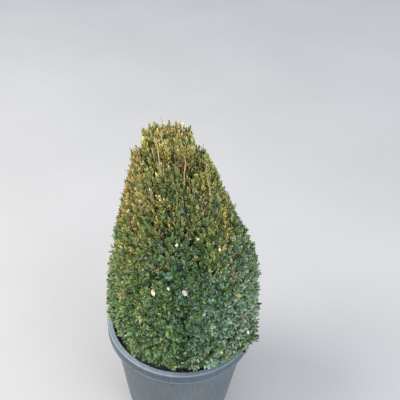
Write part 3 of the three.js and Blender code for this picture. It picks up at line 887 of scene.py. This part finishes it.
def colour_shares(shoots):
    """For each shoot, the running shares of the leaf colours: straw, bronze and yellow towards the top,
    olive and moss on the left, teal in the front's middle as painted shade, bluish low on the right, partly
    the leaves' own tint and partly painted sky reflection, and dark inside, partly older leaves and partly
    painted shade.
    Dark leaves are also painted shade in the valleys, the cleft and on the front right side; fewer of them
    on the top and the left are painted light."""
    share, angle = shoots.share, shoots.angle
    left = np.clip(-np.cos(angle), 0, 1)
    right = smooth(np.cos(angle + 0.35), 0.25, 0.95)
    # Painted shade: the front right side, away from the key light, gets more dark leaves and less gold
    shade = np.clip(np.cos(angle + 0.9), 0, 1) * (1 - smooth(share, 0.78, 0.97))
    top = smooth(share, 0.4, 0.95)
    crest = smooth(share, 0.84, 0.97)
    middle = smooth(share, 0.2, 0.5)
    # The gold on the upper left edge is partly the winter tint and partly painted light
    edge = left * smooth(share, 0.5, 0.78)
    # Painted light: the top and the left flank, where the light falls, get fewer dark leaves, and moss in
    # place of dark inside
    painted_sunlight = np.clip(top + 0.5 * left * middle, 0, 1)
    patch = lumps(shoots.tip, 0.07, 9.1) + 1.1 * (shoots.clump - 0.5)
    upper = smooth(share, 0.4, 0.72)
    golden = np.clip(0.8 * crest + 0.75 * edge + 0.35 * top + (0.25 * left + 0.4 * patch) * upper, 0, 1.4)
    # Painted shade: teal in place of gold and olive in the front's middle
    centre = np.clip(np.cos(angle + 1.2), 0, 1) ** 4
    centre *= smooth(share, 0.1, 0.3) * (1 - smooth(share, 0.5, 0.74))
    golden *= (1 - 0.3 * shade) * (1 - 0.6 * centre)
    # The bluish low on the right is partly the leaves' own tint and partly a painted sky reflection on that
    # shaded side
    low_right = right * (1 - smooth(share, 0.3, 0.6))
    bronzed = left * middle * (1 - crest)
    inner = (shoots.layer == 1) * 1.0
    weights = {
        "straw": 0.002 + 0.17 * golden**2 + 0.02 * bronzed,
        "bronze": 0.001 + 0.15 * golden**1.5 + 0.02 * bronzed,
        "rose": 0.004 + 0.1 * golden + 0.03 * low_right,
        "yellow": 0.003 + 0.45 * golden,
        "olive": 0.008 + (middle * (0.34 * left + 0.14 * right + 0.03) + 0.8 * top) * (1 - 0.6 * centre),
        "moss": (0.22 + 0.3 * left + 0.25 * (middle - top)) * (1 - 0.4 * centre) + 0.8 * inner * painted_sunlight,
        "green": 0.6 - 0.42 * top + 0.3 * np.clip(patch, 0, 1),
        # Dark leaves in the valleys between clumps are painted shade
        "dark": (0.16 + 0.35 * np.clip(-patch, 0, 1) + 0.4 * shoots.valley**2) * (1 - 0.8 * painted_sunlight),
        "teal": 0.02 + 0.6 * centre + 0.05 * low_right,
        "bluish": 0.05 + 1.2 * low_right + 0.16 * centre,
    }
    # Painted shade: dark leaves inside the crown, beyond the older leaves' own darkness, on the front right
    # side and in the front's cleft
    weights["dark"] += inner * (1.4 - 1.2 * painted_sunlight) + 0.15 * shade
    weights["dark"] += 1.1 * in_cleft(angle, shoots.tip[:, 2])
    showing = shoots.tip - np.array([0, 0, LEAVES_BELOW_TIP]) * shoots.finish[:, 2:]
    for name, reached in patches(showing).items():
        weights[name] += PATCH_WEIGHT * reached
    table = np.stack([weights[name] for name in LEAF_COLOURS], 1)
    return (table / table.sum(1, keepdims=True)).cumsum(1)


def deal(shares):
    """A colour's number for each row, at random by its shares."""
    drawn = (shares < rng.random(len(shares))[:, None]).sum(1)
    return np.minimum(drawn, shares.shape[1] - 1)


# One leaf, of length 1 along y: an oval with a rounded tip, its sides curving down from the midrib,
# and a plainer one of four faces for where the outer leaves hide most of it
OVAL_LEAF = np.array([
    (0, 0, 0),
    (0.26, 0.20, -0.02),
    (0.34, 0.52, -0.06),
    (0.22, 0.86, -0.09),
    (0, 1.0, -0.08),
    (-0.22, 0.86, -0.09),
    (-0.34, 0.52, -0.06),
    (-0.26, 0.20, -0.02),
    (0, 0.5, 0.03),
])
PLAIN_LEAF = np.array([
    (0, 0, 0),
    (0.38, 0.5, -0.06),
    (0, 1.0, -0.08),
    (-0.38, 0.5, -0.06),
    (0, 0.5, 0.03),
])
OVAL_WIDTH = 0.68


def leaf_mesh(outline_points, roots, across, along, up):
    """Points and triangles of many leaves from one outline whose last point is its middle."""
    points = roots[:, None] + sum(
        axis[:, None] * outline_points[None, :, k, None] for k, axis in enumerate((across, along, up))
    )
    edge = len(outline_points) - 1
    fan = np.array([(k, (k + 1) % edge, edge) for k in range(edge)])
    shift = (np.arange(len(roots)) * (edge + 1))[:, None, None]
    return points.reshape(-1, 3), (fan[None] + shift).reshape(-1, 3)


def leaves(shoots):
    """Every leaf's root and its three axes, (n, 4, 3), with its colour's number and if it shows well."""
    placed, tints, fine = [], [], []
    shares = colour_shares(shoots)
    own_tint = deal(shares)
    count = len(own_tint)
    vigour = rng.uniform(0.8, 1.15, count)
    greens = np.isin(own_tint, [LEAF_NAMES.index(name) for name in ("green", "dark", "teal", "bluish")])
    large_share = lerp(*LARGE_SHARE, np.clip(np.cos(shoots.angle + 0.9), 0, 1))
    large = (rng.random(count) < large_share) & (shoots.share < 0.66) & greens
    vigour = np.where(large, LARGE_SIZE, vigour)
    pairs = (LEAF_LENGTH, LEAF_WIDTH_SHARE, INTERNODE, LEAF_SPLAY, SPLAY_STEP, LEAF_KEPT, LEAF_LOYALTY)
    length, width_share, internode, first_splay, splay_step, kept, loyalty = (
        by_height(shoots.share, values) for values in pairs
    )
    sun = polar(0.5, shoots.angle, 0.75)
    for pair in range(LEAF_PAIRS):
        share = 1 - (pair * internode + YOUNGEST_PAIR) / shoots.length
        root, along = shoots.at(np.clip(share, 0, 1))
        side = unit(np.cross(along, np.array([0.2, 0.3, 1.0])))
        other = np.cross(along, side)
        for half in (0, math.pi):
            turn = shoots.phase + pair * math.pi / 2 + half + rng.normal(0, 0.2, count)
            outward = side * np.cos(turn)[:, None] + other * np.sin(turn)[:, None]
            splay = np.minimum(first_splay + splay_step * pair, SPLAY_LIMIT) + rng.normal(0, 0.13, count)
            blade = along * np.cos(splay)[:, None] + outward * np.sin(splay)[:, None]
            face = along * np.sin(splay)[:, None] - outward * np.cos(splay)[:, None]
            face = unit(face + FACE_TO_SUN * sun + rng.normal(0, 0.22, (count, 3)))
            across = unit(np.cross(blade, face))
            face = np.cross(across, blade)
            size = length * vigour * min(0.66 + 0.1 * pair, 1.0) * rng.uniform(0.82, 1.14, count)
            width = size * width_share / OVAL_WIDTH * rng.uniform(0.88, 1.12, count)
            axes = np.stack([across * width[:, None], blade * size[:, None], face * size[:, None]], 1)
            axes = np.concatenate([root[:, None], axes], 1)
            corners = root[:, None] + np.einsum("kj,njd->nkd", PLAIN_LEAF, axes[:, 1:])
            tint = np.where(rng.random(count) < loyalty, own_tint, deal(shares))
            aging = 0.07 * max(0, pair - 2) * (1 - 0.7 * smooth(shoots.share, 0.5, 0.9))
            tint = np.where(rng.random(count) < aging, LEAF_NAMES.index("dark"), tint)
            keep = (share > 0.12) & clear_of_pot(corners).all(1)
            keep &= (rng.random(count) < kept) & ~shoots.bare
            placed.append(axes[keep])
            tints.append(tint[keep])
            fine.append(((shoots.layer == 0) & (pair < FINE_PAIRS))[keep])
    return np.concatenate(placed), np.concatenate(tints), np.concatenate(fine)


def caught_leaves(shoots):
    """Pale dead leaves that lie on the nearest shoot tips."""
    places = []
    tips = shoots.tip[shoots.layer == 0]
    for degrees, share, length in CAUGHT_LEAVES:
        tip = tips[((tips - on_outline(degrees, share)) ** 2).sum(1).argmin()]
        up = unit(polar(1.0, math.radians(degrees), 0.8))
        along = unit(np.cross(up, unit(rng.normal(0, 1, 3))))
        root = tip + up * CAUGHT_LEAF_HEIGHT - along * length / 2
        places.append([root, np.cross(along, up) * length * 1.05, along * length, up * length])
    return np.array(places)


def twig_lines(shoots, chosen):
    """The chosen shoots' own stalks, as paths and radii."""
    paths = np.stack([shoots.at(np.full(len(shoots.length), s))[0] for s in (0, 0.55, 1)], 1)[chosen]
    return paths, np.broadcast_to(TWIG_RADII, paths.shape[:2])


def joining_twigs(shoots, limbs):
    """A fine twig from the limb nearest below to each shoot's base."""
    limb_points = limbs.reshape(-1, 3)
    nearest = []
    for base in shoots.base:
        away = limb_points - base
        cost = (away**2).sum(1) * np.where(away[:, 2] > 0, 4.0, 1.0)
        nearest.append(limb_points[cost.argmin()])
    paths = np.stack([np.array(nearest), shoots.base + shoots.start * 0.003], 1)
    return paths, np.broadcast_to(JOINING_TWIG_RADII, paths.shape[:2])


def joined(*meshes):
    """One array of points and one of triangles for several meshes."""
    points = np.concatenate([m[0] for m in meshes])
    shifts = np.cumsum([0] + [len(m[0]) for m in meshes[:-1]])
    return points, np.concatenate([m[1] + shift for m, shift in zip(meshes, shifts)])


def leafage(name, placed, fine, look):
    """One piece of many leaves, the fine ones as ovals."""
    shapes = [leaf_mesh(OVAL_LEAF, *np.moveaxis(placed[fine], 1, 0))]
    shapes.append(leaf_mesh(PLAIN_LEAF, *np.moveaxis(placed[~fine], 1, 0)))
    points, faces = joined(*shapes)
    dress(mesh_object(name, lean_over(points), faces, look), "foliage", *MASSES)


def twigs(name, paths, radii, look, sides=3, leaning=True):
    """One piece of many tubes, which lean with the crown unless they already do."""
    points, faces = tubes(paths, radii, sides)
    if leaning:
        points = lean_over(points)
    dress(mesh_object(name, points, faces, look), "bark", *MASSES)


def foliage():
    """Leaves by colour, the dead ones caught among them, and every kind of twig and limb under them."""
    limbs, limb_radii = inner_limbs()
    shoots = all_shoots()
    placed, tints, fine = leaves(shoots)
    for number, (name, colour) in enumerate(LEAF_COLOURS.items()):
        look = leaf_material(name, colour)
        here = tints == number
        if name == "dark":
            leafage("leaves_dark_inner", placed[here & ~fine], fine[here & ~fine], look)
            here = here & fine
        leafage("leaves_" + name, placed[here], fine[here], look)
    caught = caught_leaves(shoots)
    leafage("leaves_caught", caught, np.full(len(caught), True), leaf_material("caught", CAUGHT_COLOUR))
    bark = bark_material("twig_bark", TWIG_COLOURS)
    straw = bark_material("dry_twigs", DRY_TWIG_COLOURS)
    twigs("twigs_outer", *twig_lines(shoots, ~shoots.dry), bark)
    twigs("twigs_dry", *twig_lines(shoots, shoots.dry), straw)
    stems = np.array(DRY_STEMS)
    radii = np.broadcast_to(np.linspace(*DRY_STEM_RADII, stems.shape[1]), stems.shape[:2])
    twigs("stems_dry", stems, radii, straw, sides=6, leaning=False)
    twigs("twigs_inner", *joining_twigs(shoots, limbs), bark)
    twigs("limbs_inner", limbs, limb_radii, bark_material("limb_bark", LIMB_COLOURS), sides=7)


# Pot and potting mix


def wall_radius(z):
    return lerp(FOOT_RADIUS, THROAT_RADIUS + WALL, z / POT_HEIGHT)


def arc(centre, radius, start, end, steps):
    """Points round a profile's corner, between two angles in degrees."""
    turns = [math.radians(lerp(start, end, k / steps)) for k in range(steps + 1)]
    return [(centre[0] + radius * math.cos(t), centre[1] + radius * math.sin(t)) for t in turns]


def lathe(profile, sides):
    """Points and triangles of a turned closed solid whose profile starts and ends on the axis."""
    turns = np.arange(sides) * math.tau / sides
    radii, heights = np.array(profile[1:-1]).T[:, :, None]
    rings = polar(radii, turns, heights).reshape(-1, 3)
    points = np.concatenate([rings, [(0, 0, profile[0][1]), (0, 0, profile[-1][1])]])
    return points, ring_faces(len(radii), sides)


def pot_profile():
    """Half of the pot's section, from its underside round the collar and the lip to its floor."""
    rim, top = RIM_RADIUS, POT_HEIGHT
    near, far = FLAT_RINGS
    collar = rim - COLLAR_SET_BACK
    made = [(0, 0.0), (near, 0.0), (far, 0.0)]
    made += arc((FOOT_RADIUS - FOOT_ROUNDING, FOOT_ROUNDING), FOOT_ROUNDING, -90, 0, 5)
    made += [(wall_radius(z), z) for z in np.linspace(0.02, COLLAR_FOOT - 0.012, 24)]
    made += [(wall_radius(COLLAR_FOOT), COLLAR_FOOT), (wall_radius(top - WALL), top - WALL)]
    made += [(rim - WALL, top - WALL), (rim - WALL - 0.001, COLLAR_FOOT + 0.001)]
    made += arc((rim - 0.0017, COLLAR_FOOT + COLLAR_ROUNDING), COLLAR_ROUNDING, -120, 60, 6)
    made += [(collar, COLLAR_FOOT + 0.005), (collar, top - LIP_HEIGHT), (rim - 0.0004, top - 0.0095)]
    made += arc((rim - LIP_ROUNDING, top - LIP_ROUNDING), LIP_ROUNDING, 0, 90, 8)
    made += [(THROAT_RADIUS + 0.009, top - 0.0004), (THROAT_RADIUS + 0.005, top - 0.0001)]
    made += arc((THROAT_RADIUS + THROAT_ROUNDING, top - THROAT_ROUNDING), THROAT_ROUNDING, 90, 180, 5)
    made += [(wall_radius(z) - WALL, z) for z in np.linspace(top - 0.012, FLOOR, 8)]
    return made + [(far, FLOOR), (near, FLOOR), (0, FLOOR)]


def drain(piece, angle):
    """Cuts a drainage hole through the pot's floor."""
    low, high = -0.01, FLOOR + 0.01
    points, faces = lathe([(0, low), (DRAIN_RADIUS, low), (DRAIN_RADIUS, high), (0, high)], DRAIN_SIDES)
    points = points + polar(DRAIN_CIRCLE, angle, 0.0)
    cutter = mesh_object("cutter", points, faces, piece.data.materials[0])
    cut = piece.modifiers.new("drain", "BOOLEAN")
    cut.operation = "DIFFERENCE"
    cut.object = cutter
    bpy.context.view_layer.update()
    whole = piece.evaluated_get(bpy.context.evaluated_depsgraph_get())
    solid = bpy.data.meshes.new_from_object(whole)
    piece.modifiers.clear()
    piece.data = solid
    bpy.data.objects.remove(cutter)


def pot():
    points, faces = lathe(pot_profile(), POT_SIDES)
    piece = mesh_object("pot_shell", points, faces, pot_material())
    for hole in range(DRAIN_HOLES):
        drain(piece, hole * math.tau / DRAIN_HOLES)
    for face in piece.data.polygons:
        face.use_smooth = True
    piece.data.set_sharp_from_angle(angle=math.radians(SHARP_EDGE_DEGREES))
    dress(piece, "pot", "pot")


def soil_height(x, y):
    """The potting mix's surface: level in the middle, sunk towards the wall, and crumbly."""
    radius = math.hypot(x, y)
    fall = SOIL_EDGE_DROP * float(smooth(np.float64(radius), SOIL_LEVEL_RADIUS, THROAT_RADIUS))
    rough = noise.fractal(Vector((x, y, 0.4)) * 60, 0.7, 2.2, 5)
    return SOIL_TOP - 0.0015 - fall + CRUMB_HEIGHT * max(-1.0, min(0.6, rough))


def soil():
    """The potting mix, and the chips of bark that lie on it."""
    edge = wall_radius(SOIL_TOP - SOIL_EDGE_DROP) - WALL - SOIL_CLEARANCE
    lower = wall_radius(FLOOR) - WALL - SOIL_CLEARANCE
    profile = [(0, FLOOR + SOIL_CLEARANCE), (lower, FLOOR + SOIL_CLEARANCE)]
    profile += [(radius, SOIL_TOP) for radius in np.linspace(0.006, edge, SOIL_RINGS)[::-1]]
    profile += [(0, SOIL_TOP)]
    points, faces = lathe(profile, SOIL_SIDES)
    for point in points:
        if point[2] > SOIL_TOP - 0.001:
            point[2] = soil_height(point[0], point[1])
    look = soil_material("potting_mix", SOIL_COLOURS)
    dress(mesh_object("soil_surface", points, faces, look), "soil", "soil")
    box = np.array([(x, y, z) for x in (-1, 1) for y in (-1, 1) for z in (-1, 1)], float)
    box_faces = [(0, 1, 3, 2), (4, 6, 7, 5), (0, 4, 5, 1), (2, 3, 7, 6), (0, 2, 6, 4), (1, 5, 7, 3)]
    shapes = []
    for _ in range(CHIPS):
        radius = edge * math.sqrt(rng.uniform(0.35, 0.94))
        angle = rng.uniform(0, math.tau)
        x, y = radius * math.cos(angle), radius * math.sin(angle)
        half = np.array([rng.uniform(*limits) for limits in CHIP_HALVES])
        turn = Matrix.Rotation(rng.uniform(0, 6.3), 3, "Z") @ Matrix.Rotation(rng.normal(0, 0.35), 3, "X")
        jagged = box * half * rng.uniform(0.6, 1.2, (8, 3))
        shapes.append(jagged @ np.array(turn).T + (x, y, soil_height(x, y) + 0.0008))
    faces = (np.array(box_faces) + (np.arange(CHIPS) * 8)[:, None, None]).reshape(-1, 4)
    look = soil_material("bark_chips", CHIP_COLOURS)
    dress(mesh_object("soil_chips", np.concatenate(shapes), faces, look, flat=True), "soil", "soil")


# Camera, floor and light


def camera():
    data = bpy.data.cameras.new("camera")
    data.sensor_width = CAMERA_SENSOR
    data.lens = CAMERA_LENS
    made = new_object("camera", data)
    tilt = Matrix.Rotation(math.radians(90 - CAMERA_TILT), 4, "X")
    roll = Matrix.Rotation(math.radians(CAMERA_ROLL), 4, "Z")
    made.matrix_world = Matrix.Translation(CAMERA_PLACE) @ tilt @ roll
    bpy.context.scene.camera = made


def area_light(name, place, aim, size, energy, colour):
    data = bpy.data.lights.new(name, "AREA")
    data.shape = "DISK"
    data.size = size
    data.energy = energy
    data.color = colour
    made = new_object(name, data)
    made.location = place
    made.rotation_euler = (Vector(aim) - Vector(place)).to_track_quat("-Z", "Y").to_euler()


def studio():
    """A plain floor under a pale sky, and the lights."""
    ground = [(x * FLOOR_REACH, y * FLOOR_REACH, 0.0) for x, y in ((-1, -1), (1, -1), (1, 1), (-1, 1))]
    floor = mesh_object("floor", ground, [(0, 1, 2, 3)], floor_material(), flat=True)
    world = bpy.data.worlds.new("sky")
    world.use_nodes = True
    sky = world.node_tree.nodes["Background"]
    sky.inputs["Color"].default_value = SKY_COLOUR
    sky.inputs["Strength"].default_value = SKY_STRENGTH
    bpy.context.scene.world = world
    for light in LIGHTS:
        area_light(*light)
    bpy.context.scene.view_settings.view_transform = "Standard"


camera()
studio()
limb_bark = bark_material("stem_bark", STEM_COLOURS)
stem(limb_bark)
boughs(limb_bark)
foliage()
pot()
soil()
